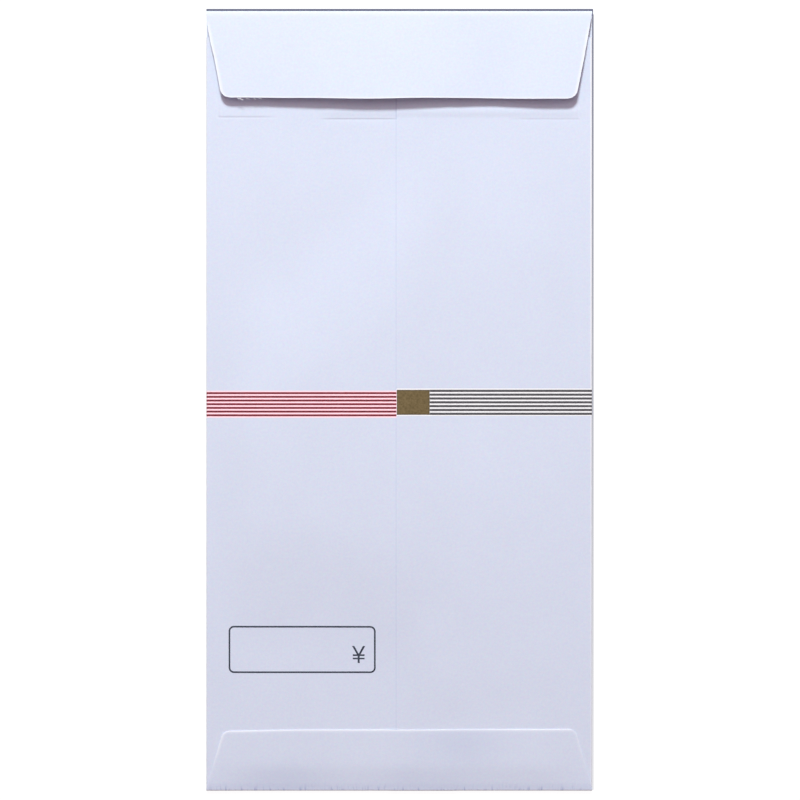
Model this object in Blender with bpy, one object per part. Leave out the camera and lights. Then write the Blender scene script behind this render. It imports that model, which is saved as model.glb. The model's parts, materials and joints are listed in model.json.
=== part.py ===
"""A printed paper money envelope, lying on its front with its back up.

X runs across the envelope, +Y towards the closing flap and +Z up, in metres. One cut sheet is
folded round: two side panels over the front, turned in at the mouth and glued at a seam, a
bottom flap glued over them, and a closing flap that turns on its crease. The origin is under
the middle of the envelope, on the surface that it lies on.
"""

from math import cos, pi, radians, sin, tan

import bmesh
import bpy
import numpy as np
from mathutils import Matrix, Vector

MM = 0.001

# Sheet, films and the air left between layers
PAPER = 0.14 * MM
GLUE_FILM = 0.03 * MM
INK_FILM = 0.03 * MM
SEAT = 0.01 * MM
POCKET_GAP = 0.40 * MM
HEM_GAP = 0.06 * MM
FLAP_CLEARANCE = 0.05 * MM

# Envelope
ENVELOPE_WIDTH = 90.0 * MM
ENVELOPE_LENGTH = 182.0 * MM
MOUTH_DROP = 6.0 * MM

# Centre seam: the right panel's edge lies over the left panel
SEAM_EDGE_X = -0.6 * MM
SEAM_OVERLAP = 12.0 * MM
SEAM_RAMP = 3.0 * MM
SEAM_GLUE_MARGIN = 1.5 * MM
SEAM_GLUE_END = 3.0 * MM

# Margins of the two back panels, turned in at the mouth
HEM_DEPTH = 19.1 * MM
HEM_SIDE_INSET = 2.8 * MM
HEM_SEAM_INSET = 0.8 * MM

# Closing flap, measured from the top fold
FLAP_LENGTH = 20.84 * MM
FLAP_TAPER = 3.7 * MM
FLAP_CORNER_RADIUS = 2.4 * MM
FLAP_LIFT = radians(4.25)

# The closing flap's paper isn't flat: how far its free edge stands out, as (x, rise)
FLAP_WAVE = (
    (-45.0 * MM, 0.22 * MM),
    (-31.0 * MM, 0.21 * MM),
    (-7.0 * MM, 0.87 * MM),
    (1.0 * MM, 0.90 * MM),
    (21.5 * MM, 0.0 * MM),
    (35.0 * MM, 0.53 * MM),
    (45.0 * MM, 0.50 * MM),
)

# Bottom flap, measured from the bottom fold
BOTTOM_FLAP_LENGTH = 14.15 * MM
BOTTOM_FLAP_TAPER = 3.9 * MM
BOTTOM_FLAP_CORNER_RADIUS = 2.0 * MM
BOTTOM_GLUE_MARGIN = 2.0 * MM

# Printed band of cords
CORD_COUNT = 7
CORD_WIDTH = 0.44 * MM
RED_CORD_PITCH = 0.860 * MM
RED_BAND_Y = -0.86 * MM
GOLD_CORD_PITCH = 0.893 * MM
GOLD_BAND_Y = -0.42 * MM
GOLD_BLOCK_LENGTH = 7.7 * MM
GOLD_BLOCK_HEIGHT = 5.8 * MM
PRINT_SEAM_MARGIN = 0.05 * MM
PRINT_GAP = 0.02 * MM

# Facets
FOLD_STEPS = 14
CORNER_STEPS = 6
PRINT_FOLD_STEPS = 4
WAVE_COLUMN = 4.5 * MM
WAVE_ROWS = 4

# Heights of the layers, from the surface up
FRONT_TOP = PAPER
HEM_UNDERSIDE = FRONT_TOP + POCKET_GAP
HEM_TOP = HEM_UNDERSIDE + PAPER
BACK_UNDERSIDE = HEM_TOP + HEM_GAP
BACK_TOP = BACK_UNDERSIDE + PAPER
GLUE_LAYER = SEAT + GLUE_FILM + SEAT
SEAM_RISE = GLUE_LAYER + PAPER
BOTTOM_FLAP_UNDERSIDE = BACK_TOP + GLUE_LAYER
BOTTOM_FLAP_TOP = BOTTOM_FLAP_UNDERSIDE + PAPER
CLOSED_FLAP_UNDERSIDE = BACK_TOP + SEAM_RISE + FLAP_CLEARANCE

# Radii of the folds, each half the stack that it closes
SIDE_FOLD_RADIUS = BACK_TOP / 2
MOUTH_FOLD_RADIUS = (BACK_TOP - HEM_UNDERSIDE) / 2
BOTTOM_FOLD_RADIUS = BOTTOM_FLAP_TOP / 2
CREASE_RADIUS = (CLOSED_FLAP_UNDERSIDE + PAPER) / 2

# Places in plan
HALF_WIDTH = ENVELOPE_WIDTH / 2
TOP_Y = ENVELOPE_LENGTH / 2
BOTTOM_Y = -ENVELOPE_LENGTH / 2
CREASE_Y = TOP_Y - CREASE_RADIUS
BOTTOM_FOLD_Y = BOTTOM_Y + BOTTOM_FOLD_RADIUS
MOUTH_FOLD_Y = TOP_Y - MOUTH_DROP - MOUTH_FOLD_RADIUS
SIDE_FOLD_X = HALF_WIDTH - SIDE_FOLD_RADIUS
LEFT_PANEL_END_X = SEAM_EDGE_X + SEAM_OVERLAP
HEM_END_Y = TOP_Y - MOUTH_DROP - HEM_DEPTH

# How far a sheet climbs over the seam, as (x, rise) along the envelope's width
RIGHT_PANEL_RISE = (
    (LEFT_PANEL_END_X, SEAM_RISE),
    (LEFT_PANEL_END_X + SEAM_RAMP, 0.0),
)
BOTTOM_FLAP_RISE = (
    (SEAM_EDGE_X - SEAM_RAMP, 0.0),
    (SEAM_EDGE_X, SEAM_RISE),
) + RIGHT_PANEL_RISE
NO_RISE = ((0.0, 0.0),)


def clear_scene():
    for thing in list(bpy.data.objects):
        bpy.data.objects.remove(thing, do_unlink=True)


def make_material(name, colour, roughness, metallic=0.0):
    material = bpy.data.materials.new(name)
    material.use_nodes = True
    shader = material.node_tree.nodes["Principled BSDF"]
    shader.inputs["Base Color"].default_value = (*colour, 1.0)
    shader.inputs["Roughness"].default_value = roughness
    shader.inputs["Metallic"].default_value = metallic
    return material


def rise_at(x, rise):
    """Height gained at x by a sheet that lies over the seam."""
    places = [place for place, height in rise]
    heights = [height for place, height in rise]
    return float(np.interp(x, places, heights))


def add_piece(name, bm, material, place=(0.0, 0.0, 0.0)):
    """Closes a bmesh into a named object whose origin is at place."""
    bmesh.ops.recalc_face_normals(bm, faces=bm.faces[:])
    mesh = bpy.data.meshes.new(name)
    bm.to_mesh(mesh)
    bm.free()
    mesh.materials.append(material)
    piece = bpy.data.objects.new(name, mesh)
    piece.location = place
    bpy.context.scene.collection.objects.link(piece)
    return piece


def smooth_round(piece):
    piece.data.shade_smooth()
    piece.data.set_sharp_from_angle(angle=radians(35))


def thicken(bm, offset):
    """Extrudes every face of a flat sheet by one offset, which closes it."""
    extruded = bmesh.ops.extrude_face_region(bm, geom=bm.faces[:])
    points = [item for item in extruded["geom"] if isinstance(item, bmesh.types.BMVert)]
    bmesh.ops.translate(bm, verts=points, vec=offset)


def fillet(corner, before, after, radius):
    """Points of the arc that rounds one corner of an outline."""
    corner, before, after = Vector(corner), Vector(before), Vector(after)
    back = (before - corner).normalized()
    ahead = (after - corner).normalized()
    half_angle = back.angle(ahead) / 2
    centre = corner + (back + ahead).normalized() * (radius / sin(half_angle))
    start = corner + back * (radius / tan(half_angle)) - centre
    turn = start.angle_signed(corner + ahead * (radius / tan(half_angle)) - centre)
    arc = []
    for step in range(CORNER_STEPS + 1):
        arc.append(centre + Matrix.Rotation(-turn * step / CORNER_STEPS, 2) @ start)
    return arc


def flap_outline(base_y, tip_y, half_base, half_tip, radius):
    """A trapezoid with its tip corners rounded, from the fold line to the tip."""
    base_right, tip_right = (half_base, base_y), (half_tip, tip_y)
    tip_left, base_left = (-half_tip, tip_y), (-half_base, base_y)
    outline = [Vector(base_right)]
    outline += fillet(tip_right, base_right, tip_left, radius)
    outline += fillet(tip_left, tip_right, base_left, radius)
    outline.append(Vector(base_left))
    return outline


def divide(bm, direction, places):
    """Cuts new edges into a flat sheet, square to a direction, at each of these distances."""
    normal = Vector(direction)
    for place in places:
        everything = bm.verts[:] + bm.edges[:] + bm.faces[:]
        bmesh.ops.bisect_plane(bm, geom=everything, plane_co=normal * place, plane_no=normal)


def cut_sheet(outline, thickness, rise=NO_RISE):
    """A flat sheet of any outline, bent up where it climbs over the seam."""
    bm = bmesh.new()
    bm.faces.new([bm.verts.new((x, y, 0.0)) for x, y in outline])
    divide(bm, (1.0, 0.0, 0.0), [bend_x for bend_x, _ in rise])
    thicken(bm, (0.0, 0.0, thickness))
    for point in bm.verts:
        point.co.z += rise_at(point.co.x, rise)
    return bm


def plate(name, outline, underside, thickness, material, rise=NO_RISE):
    bm = cut_sheet(outline, thickness, rise)
    bmesh.ops.translate(bm, verts=bm.verts[:], vec=(0.0, 0.0, underside))
    return add_piece(name, bm, material)


def rectangle(low_x, high_x, low_y, high_y):
    return [(low_x, low_y), (high_x, low_y), (high_x, high_y), (low_x, high_y)]


def fold(name, ends, axis_z, radius, turn, material, along="x", side=1, rise=NO_RISE, place=0.0):
    """A rolled fold: the sheet's own section, spun round the fold's axis.

    ends are the fold's two ends along its axis, place is the axis's place across it, and side
    is the way that the fold bulges: 1 for towards + and -1 for towards -.
    """
    bm = bmesh.new()
    stations = sorted({ends[0], ends[1]} | {x for x, _ in rise if ends[0] < x < ends[1]})
    outer = [bm.verts.new((x, 0.0, -radius)) for x in stations]
    inner = [bm.verts.new((x, 0.0, PAPER - radius)) for x in stations]
    for first in range(len(stations) - 1):
        bm.faces.new((outer[first], outer[first + 1], inner[first + 1], inner[first]))
    bmesh.ops.spin(
        bm,
        geom=bm.verts[:] + bm.edges[:] + bm.faces[:],
        axis=(1.0, 0.0, 0.0),
        cent=(0.0, 0.0, 0.0),
        angle=turn,
        steps=FOLD_STEPS,
    )
    for point in bm.verts:
        turned_share = (1 - cos(Vector((point.co.z, point.co.y)).angle(Vector((-1.0, 0.0))))) / 2
        point.co.z += rise_at(point.co.x, rise) * turned_share
    if side < 0:
        bmesh.ops.scale(bm, verts=bm.verts[:], vec=(1.0, -1.0, 1.0))
    if along == "y":
        for point in bm.verts:
            point.co.x, point.co.y = point.co.y, point.co.x
        origin = (place, 0.0, axis_z)
    else:
        origin = (0.0, place, axis_z)
    piece = add_piece(name, bm, material, origin)
    smooth_round(piece)
    return piece


def film(name, path, low_y, high_y, material):
    """A printed stripe: its underside follows path, a list of (x, z), and its ends are square."""
    bm = bmesh.new()
    under, over = [], []
    for index, (x, z) in enumerate(path):
        before = Vector(path[max(index - 1, 0)])
        after = Vector(path[min(index + 1, len(path) - 1)])
        along = (after - before).normalized()
        under.append(bm.verts.new((x, low_y, z)))
        over.append(bm.verts.new((x - along.y * INK_FILM, low_y, z + along.x * INK_FILM)))
    for first in range(len(path) - 1):
        bm.faces.new((under[first], under[first + 1], over[first + 1], over[first]))
    thicken(bm, (0.0, high_y - low_y, 0.0))
    return add_piece(name, bm, material)


def round_the_edge(side):
    """Path of a stripe from the envelope's outermost line up onto the flat of its back."""
    reach = SIDE_FOLD_RADIUS + SEAT
    path = []
    for step in range(PRINT_FOLD_STEPS + 1):
        angle = pi / 2 * step / PRINT_FOLD_STEPS
        path.append((side * (SIDE_FOLD_X + reach * cos(angle)), SIDE_FOLD_RADIUS + reach * sin(angle)))
    return path


def make_front(paper):
    """Front panel: as wide as the pocket's flat, and full width above the mouth."""
    neck_y = MOUTH_FOLD_Y + MOUTH_FOLD_RADIUS
    flat_x = SIDE_FOLD_X - SEAT
    low_y, high_y = BOTTOM_FOLD_Y + SEAT, CREASE_Y - SEAT
    outline = [
        (-flat_x, low_y),
        (flat_x, low_y),
        (flat_x, neck_y),
        (HALF_WIDTH, neck_y),
        (HALF_WIDTH, high_y),
        (-HALF_WIDTH, high_y),
        (-HALF_WIDTH, neck_y),
        (-flat_x, neck_y),
    ]
    plate("front_panel", outline, 0.0, PAPER, paper)


def make_side_folds(paper):
    ends = (BOTTOM_FOLD_Y + SEAT, MOUTH_FOLD_Y)
    for name, side in (("left_side_fold", -1), ("right_side_fold", 1)):
        fold(name, ends, SIDE_FOLD_RADIUS, SIDE_FOLD_RADIUS, pi, paper, "y", side, place=side * SIDE_FOLD_X)


def make_back_panels(paper):
    low_y, high_y = BOTTOM_FOLD_Y + SEAT, MOUTH_FOLD_Y - SEAT
    flat_x = SIDE_FOLD_X - SEAT
    left = rectangle(-flat_x, LEFT_PANEL_END_X, low_y, high_y)
    right = rectangle(SEAM_EDGE_X, flat_x, low_y, high_y)
    plate("left_back_panel", left, BACK_UNDERSIDE, PAPER, paper)
    plate("right_back_panel", right, BACK_UNDERSIDE, PAPER, paper, RIGHT_PANEL_RISE)


def make_mouth_hems(paper):
    """The margins turned in at the mouth, each joined to its panel by a tight fold."""
    left = (HEM_SIDE_INSET - HALF_WIDTH, LEFT_PANEL_END_X - HEM_SEAM_INSET)
    right = (LEFT_PANEL_END_X + SEAM_RAMP + HEM_SEAM_INSET, HALF_WIDTH - HEM_SIDE_INSET)
    for side_name, ends in (("left", left), ("right", right)):
        outline = rectangle(*ends, HEM_END_Y, MOUTH_FOLD_Y - SEAT)
        plate(side_name + "_mouth_hem", outline, HEM_UNDERSIDE, PAPER, paper)
        axis_z = HEM_UNDERSIDE + MOUTH_FOLD_RADIUS
        fold(side_name + "_mouth_fold", ends, axis_z, MOUTH_FOLD_RADIUS, pi, paper, place=MOUTH_FOLD_Y)


def make_seam_glue(glue):
    low_x = SEAM_EDGE_X + SEAM_GLUE_MARGIN
    high_x = LEFT_PANEL_END_X - SEAM_GLUE_MARGIN
    outline = rectangle(low_x, high_x, BOTTOM_FOLD_Y + SEAM_GLUE_END, MOUTH_FOLD_Y - SEAM_GLUE_END)
    plate("seam_glue", outline, BACK_TOP + SEAT, GLUE_FILM, glue)


def make_bottom(paper, glue):
    """The fold and the flap that close the bottom, glued over both back panels."""
    ends = (-HALF_WIDTH, HALF_WIDTH)
    radius = BOTTOM_FOLD_RADIUS
    fold("bottom_fold", ends, radius, radius, pi, paper, "x", -1, BOTTOM_FLAP_RISE, BOTTOM_FOLD_Y)
    base_y = BOTTOM_FOLD_Y + SEAT
    tip_y = BOTTOM_Y + BOTTOM_FLAP_LENGTH
    half_tip = HALF_WIDTH - BOTTOM_FLAP_TAPER
    outline = flap_outline(base_y, tip_y, HALF_WIDTH, half_tip, BOTTOM_FLAP_CORNER_RADIUS)
    plate("bottom_flap", outline, BOTTOM_FLAP_UNDERSIDE, PAPER, paper, BOTTOM_FLAP_RISE)
    margin = BOTTOM_GLUE_MARGIN
    glued = flap_outline(
        base_y + margin,
        tip_y - margin,
        HALF_WIDTH - margin,
        half_tip - margin,
        BOTTOM_FLAP_CORNER_RADIUS,
    )
    plate("bottom_flap_glue", glued, BACK_TOP + SEAT, GLUE_FILM, glue, BOTTOM_FLAP_RISE)


def eased(x, stations):
    """Value at x of a table of (x, value), with a smooth change between its entries."""
    if x <= stations[0][0]:
        return stations[0][1]
    for (low, start), (high, end) in zip(stations, stations[1:]):
        if x < high:
            share = (x - low) / (high - low)
            return start + (end - start) * share * share * (3.0 - 2.0 * share)
    return stations[-1][1]


def waved_sheet(outline, tip_y):
    """A sheet whose waves grow evenly from its fold at y = 0 to its free edge at tip_y."""
    bm = bmesh.new()
    bm.faces.new([bm.verts.new((x, y, 0.0)) for x, y in outline])
    columns = int(ENVELOPE_WIDTH / WAVE_COLUMN)
    crossings = [(index / columns - 0.5) * ENVELOPE_WIDTH for index in range(1, columns)]
    crests = [x for x, _ in FLAP_WAVE if abs(x) < HALF_WIDTH - FLAP_TAPER]
    divide(bm, (1.0, 0.0, 0.0), crossings + crests)
    divide(bm, (0.0, 1.0, 0.0), [tip_y * index / WAVE_ROWS for index in range(1, WAVE_ROWS)])
    bmesh.ops.triangulate(bm, faces=bm.faces[:])
    thicken(bm, (0.0, 0.0, PAPER))
    for point in bm.verts:
        along = max(point.co.y / tip_y, 0.0)
        point.co.z += eased(point.co.x, FLAP_WAVE) * along
    return bm


def make_closing_flap(paper):
    """The flap and its crease. The flap is drawn shut about the crease's axis, then lifted."""
    ends = (-HALF_WIDTH, HALF_WIDTH)
    turn = pi - FLAP_LIFT
    fold("flap_crease", ends, CREASE_RADIUS, CREASE_RADIUS, turn, paper, place=CREASE_Y)
    tip_y = CREASE_RADIUS - FLAP_LENGTH
    half_tip = HALF_WIDTH - FLAP_TAPER
    outline = flap_outline(-SEAT, tip_y, HALF_WIDTH, half_tip, FLAP_CORNER_RADIUS)
    bm = waved_sheet(outline, tip_y)
    bmesh.ops.translate(bm, verts=bm.verts[:], vec=(0.0, 0.0, CREASE_RADIUS - PAPER))
    flap = add_piece("closing_flap", bm, paper, (0.0, CREASE_Y, CREASE_RADIUS))
    flap.rotation_euler.x = -FLAP_LIFT
    smooth_round(flap)


def make_red_cords(red):
    path = [(SEAM_EDGE_X - PRINT_SEAM_MARGIN, BACK_TOP + SEAT)] + round_the_edge(-1)[::-1]
    path = path[::-1]
    for index in range(CORD_COUNT):
        y = RED_BAND_Y + RED_CORD_PITCH * ((CORD_COUNT - 1) / 2 - index)
        film(f"red_cord_{index + 1}", path, y - CORD_WIDTH / 2, y + CORD_WIDTH / 2, red)


def make_gold_print(gold):
    """The solid block beside the seam, and the cords that run from it to the right edge."""
    block_start = SEAM_EDGE_X + PRINT_SEAM_MARGIN
    block_end = SEAM_EDGE_X + GOLD_BLOCK_LENGTH
    surface = BACK_TOP + SEAT
    half_height = GOLD_BLOCK_HEIGHT / 2
    block_y = GOLD_BAND_Y
    path = [(block_start, surface + SEAM_RISE), (block_end, surface + SEAM_RISE)]
    film("gold_block", path, block_y - half_height, block_y + half_height, gold)
    path = [(block_end + PRINT_GAP, surface + SEAM_RISE)]
    path += [(x, surface + height) for x, height in RIGHT_PANEL_RISE]
    path += round_the_edge(1)[::-1]
    for index in range(CORD_COUNT):
        y = GOLD_BAND_Y + GOLD_CORD_PITCH * ((CORD_COUNT - 1) / 2 - index)
        film(f"gold_cord_{index + 1}", path, y - CORD_WIDTH / 2, y + CORD_WIDTH / 2, gold)


def build():
    clear_scene()
    paper = make_material("white_envelope_paper", (0.78, 0.81, 0.90), 0.75)
    glue = make_material("dried_paste", (0.72, 0.68, 0.55), 0.5)
    red = make_material("red_ink", (0.52, 0.02, 0.05), 0.55)
    gold = make_material("gold_ink", (0.19, 0.13, 0.06), 0.45, 0.6)
    make_front(paper)
    make_side_folds(paper)
    make_back_panels(paper)
    make_mouth_hems(paper)
    make_seam_glue(glue)
    make_bottom(paper, glue)
    make_closing_flap(paper)
    make_red_cords(red)
    make_gold_print(gold)


build()
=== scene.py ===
"""Looks of a printed paper money envelope that lies on its front with its back up.

X runs across the envelope, +Y towards the closing flap and +Z up, in metres. The sheets of the
back are modelled flat, rolled round their folds, waved, and only then given their thickness.
"""

import json
from math import ceil, cos, hypot, pi, radians, sin

import bmesh
import bpy
import numpy as np
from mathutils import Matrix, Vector


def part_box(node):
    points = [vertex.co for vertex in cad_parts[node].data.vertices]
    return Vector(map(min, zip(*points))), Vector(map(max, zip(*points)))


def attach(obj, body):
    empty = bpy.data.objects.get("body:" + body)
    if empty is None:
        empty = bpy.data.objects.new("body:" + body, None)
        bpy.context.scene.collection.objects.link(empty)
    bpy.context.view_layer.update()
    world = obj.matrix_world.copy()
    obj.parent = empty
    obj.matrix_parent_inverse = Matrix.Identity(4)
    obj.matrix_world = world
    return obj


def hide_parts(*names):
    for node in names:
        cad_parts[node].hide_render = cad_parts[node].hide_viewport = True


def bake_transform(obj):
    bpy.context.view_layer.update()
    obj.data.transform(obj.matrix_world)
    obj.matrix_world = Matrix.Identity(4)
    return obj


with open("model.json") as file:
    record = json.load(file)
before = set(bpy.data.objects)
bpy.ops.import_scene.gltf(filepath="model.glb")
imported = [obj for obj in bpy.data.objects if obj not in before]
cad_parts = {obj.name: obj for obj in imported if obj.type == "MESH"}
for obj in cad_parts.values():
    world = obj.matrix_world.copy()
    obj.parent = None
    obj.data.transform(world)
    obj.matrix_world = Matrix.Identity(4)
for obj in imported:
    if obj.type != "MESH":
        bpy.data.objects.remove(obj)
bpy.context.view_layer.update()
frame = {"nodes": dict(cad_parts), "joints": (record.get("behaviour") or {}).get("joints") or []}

MM = 0.001

# Heights and places of the layers, from the frame
LEFT_LOW, LEFT_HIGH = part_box("left_back_panel")
RIGHT_LOW, RIGHT_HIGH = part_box("right_back_panel")
_, FOLD_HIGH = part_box("right_side_fold")
HEM_LOW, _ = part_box("left_mouth_hem")
_, RIGHT_HEM_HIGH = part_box("right_mouth_hem")
_, BOTTOM_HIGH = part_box("bottom_flap")
BOTTOM_FOLD_LOW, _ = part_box("bottom_fold")
FLAP_LOW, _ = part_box("closing_flap")
BLOCK_LOW, BLOCK_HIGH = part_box("gold_block")
HINGE = frame["joints"][0]

PAPER = LEFT_HIGH.z - LEFT_LOW.z
HALF_WIDTH = FOLD_HIGH.x
BACK_TOP = LEFT_HIGH.z
SEAM_EDGE_X = RIGHT_LOW.x
SEAM_END_X = LEFT_HIGH.x
SEAM_RISE = RIGHT_HIGH.z - LEFT_HIGH.z
SIDE_FOLD_RADIUS = BACK_TOP / 2
SIDE_FOLD_X = HALF_WIDTH - SIDE_FOLD_RADIUS
PANEL_LOW_Y, PANEL_HIGH_Y = LEFT_LOW.y, LEFT_HIGH.y
HEM_END_Y = HEM_LOW.y
BOTTOM_TOP = BOTTOM_HIGH.z - SEAM_RISE
BOTTOM_FOLD_RADIUS = BOTTOM_TOP / 2
BOTTOM_FOLD_Y = BOTTOM_FOLD_LOW.y + BOTTOM_FOLD_RADIUS
BOTTOM_TIP_Y = BOTTOM_HIGH.y
CREASE_Y, CREASE_RADIUS = HINGE["pos_m"][1], HINGE["pos_m"][2]
FLAP_LIFT = radians(-HINGE["range_deg"][0])
FLAP_REACH = (CREASE_Y - FLAP_LOW.y + (CREASE_RADIUS - PAPER) * sin(FLAP_LIFT)) / cos(FLAP_LIFT)
CREASE_AXIS = (0.0, CREASE_Y, CREASE_RADIUS)
SHUT_FLAP_Z = 2 * CREASE_RADIUS - PAPER / 2

# Outlines of the two flaps
FLAP_TAPER = 3.7 * MM
FLAP_CORNER = 2.4 * MM
BOTTOM_TAPER = 3.9 * MM
BOTTOM_CORNER = 2.0 * MM

# The closing flap's paper isn't flat: how far its free edge stands out at each x, and how much
# longer the flap was cut there
WAVE_X = np.array((-45.0, -31.0, -7.0, 1.0, 21.5, 35.0, 45.0)) * MM
WAVE_RISE = np.array((0.22, 0.21, 0.87, 0.90, 0.0, 0.53, 0.50)) * MM
CUT_X = np.array((-36.0, -24.0, -7.5, 9.0, 17.0, 33.0)) * MM
CUT_EXTRA = np.array((-0.19, -0.07, 0.22, -0.04, -0.09, 0.15)) * MM

# How far its two sides lie inside a straight taper, by the distance from the crease
SIDE_REACH = np.array((0.0, 3.0, 7.0, 11.0, 21.0)) * MM
LEFT_CUT = np.array((0.0, -0.28, -0.23, 0.0, 0.06)) * MM
RIGHT_CUT = np.array((0.0, 0.0, 0.0, 0.02, 0.27)) * MM

# It also bulges a little beyond its crease, and the knife turned its free edge up
FLAP_BULGE = 0.08 * MM
FLAP_BULGE_REACH = 2.5 * MM
LIP_RISE = 0.02 * MM
LIP_REACH = 0.2 * MM

# White fibres and painted highlight: how far they show in from a cut edge, and how strongly on
# each edge of the flap. Its sides are whiter from a little beyond the crease on, and its crease
# has a painted highlight of its own
EDGE_WHITE_REACH = 0.16 * MM
FLAP_TIP_WHITENESS = 0.8
FLAP_SIDE_WHITENESS = 0.6
FLAP_SIDE_START = (1.0 * MM, 5.0 * MM)
CREASE_WHITENESS = 0.2
CREASE_WHITE_REACH = 0.3 * MM

# How much narrower the crease is at the front panel than at the flap
CREASE_NARROWING = 0.02 * MM

# Loose fibres on the closing flap's free edge, in millimetres: x, length, drop and width
FIBRES = (
    (-37.6, 1.4, 0.40, 0.11),
    (-36.9, 0.5, 0.48, 0.09),
    (-35.6, 0.9, 0.26, 0.06),
    (-33.8, 0.5, 0.38, 0.11),
    (-32.6, 0.7, 0.20, 0.06),
)
FIBRE_DROOP = 0.8
FIBRE_THICKNESS = 0.05 * MM

# The bottom flap was cut a little askew: how much longer it is at each x
TIP_X = np.array((-42.0, -22.0, 0.0, 42.0)) * MM
TIP_EXTRA = np.array((-0.22, 0.12, 0.12, 0.22)) * MM

# Its free edges are pressed down by this much, except close to the fold
EDGE_PRESS = 0.05 * MM
EDGE_PRESS_REACH = 0.3 * MM
EDGE_PRESS_START = 0.5 * MM

# White fibres and painted highlight at its left and right side; painted highlight outside the fold
BOTTOM_SIDE_WHITENESS = (0.6, 0.3)
FOLD_HIGHLIGHT_BAND = (-0.5 * MM, -0.1 * MM)

# Painted shade beside the fold, crumple ticks and a band, up to these distances above its axis
CRUMPLE = 0.4
CRUMPLE_BAND = (-0.1 * MM, 1.2 * MM)
FOLD_SHADE = 0.13
FOLD_SHADE_BAND = (-0.1 * MM, 1.8 * MM)

# Its lower half is a little greyer than its upper half
BOTTOM_SHADE = 0.04
BOTTOM_SHADE_Y = (-90.0 * MM, -83.0 * MM)

# Painted highlight on the outside of the side folds, the right one more towards its upper end
SIDE_FOLD_HIGHLIGHT_BAND = (HALF_WIDTH - 0.45 * MM, HALF_WIDTH - 0.2 * MM)
LEFT_FOLD_HIGHLIGHT = 0.1
RIGHT_FOLD_HIGHLIGHT = 0.5
RIGHT_FOLD_HIGHLIGHT_Y = (-60.0 * MM, 60.0 * MM)

# Painted shade: the dark line beside the seam's edge, deeper where the margins are turned in
SEAM_SHADE = 0.16
SEAM_SHADE_GAIN = 0.24
SEAM_SHADE_OFFSET = 0.08 * MM
SEAM_SHADE_WIDTH = 0.12 * MM
SEAM_SHADE_RISE = 0.3 * MM

# The back panel's climb down from the seam
SEAM_RAMP = 3.0 * MM

# Greyer places of the bottom flap, in millimetres: x, y, half width, half length and depth
GREY_PATCHES = (
    (14.5, -80.0, 9.0, 5.0, 0.13),
    (5.0, -88.0, 10.0, 3.0, 0.07),
    (-27.0, -88.0, 9.0, 3.5, 0.12),
)

# Paste films
PASTE_LIFT = 0.01 * MM
PASTE_FILM = 0.03 * MM

# How far the empty envelope's back stands over its flat: everywhere, and in one large swell
PAD_HEIGHT = 0.22 * MM
SWELL_HEIGHT = 1.20 * MM

# The back is held down at its folds and at the mouth: from where to where it comes free
SIDE_HOLD = (0.6 * MM, 12.0 * MM)
MOUTH_HOLD = (1.0 * MM, 26.0 * MM)
BOTTOM_HOLD = (0.3 * MM, 6.0 * MM)

# The swell's upper end slants to the left of the middle and spreads to the right of it. Its
# lower end slants within a span, and its right half is all but flat
SWELL_TOP_Y = 39.0 * MM
SWELL_TOP_SLANT = 0.82
SWELL_TOP_REACH = 18.0 * MM
SWELL_TOP_SPREAD = 0.5
SWELL_FOOT_Y = -50.5 * MM
SWELL_FOOT_SLANT = 0.37
SWELL_FOOT_SPAN = 20.0 * MM
SWELL_FOOT_REACH = 16.0 * MM
SWELL_RIGHT_LOSS = 0.95
SWELL_RIGHT_X = (-2.5 * MM, 12.0 * MM)

# Smaller bumps and hollows of the back, in millimetres: x, y, half width, half length and height
BUMPS = (
    (30.0, 33.0, 8.0, 12.0, 0.19),
    (-23.5, 35.5, 16.0, 22.0, -0.39),
    (16.5, -26.0, 25.0, 18.0, 0.31),
    (16.5, -75.0, 13.0, 7.0, -0.20),
)

# How much the margins turned in at the mouth raise the back, over what width it comes down, and
# how much more their free end springs up
HEM_STEP = 0.08 * MM
HEM_SLOPE = 0.15 * MM
HEM_SPRING = 0.12 * MM

# Where the end of the margins shows, in millimetres: where it starts, is full, stops being full
# and ends, and how strongly it shows
HEM_MARKS = (
    (-42.6, -42.0, -31.0, -29.0, 0.8),
    (-18.5, -16.5, -1.2, -0.6, 1.0),
    (26.5, 28.5, 41.7, 42.3, 0.6),
)

# The left margin ends a little higher near its side
HEM_SKEW = 0.45 * MM
HEM_SKEW_X = (-30.0 * MM, -22.0 * MM)

# The pressed lines: below the end, and along the two sides of the margins
END_PRESS = 0.3
SIDE_PRESS = 0.44
RIGHT_PRESS_SHARE = 0.8
SIDE_PRESS_WIDTH = 0.25 * MM
SIDE_PRESS_START = 0.5 * MM
SIDE_PRESS_END = 8.0 * MM
LEFT_HEM_X = HEM_LOW.x
RIGHT_HEM_X = RIGHT_HEM_HIGH.x - 0.2 * MM

# The spring: from where it starts across the envelope, how wide it is held at the side folds, and
# how far above the margins' end it is highest and ends
SPRING_X = (-20.0 * MM, -14.0 * MM)
SPRING_HOLD = (0.6 * MM, 6.0 * MM)
SPRING_CREST = 1.7 * MM
SPRING_LENGTH = 3.3 * MM

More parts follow.
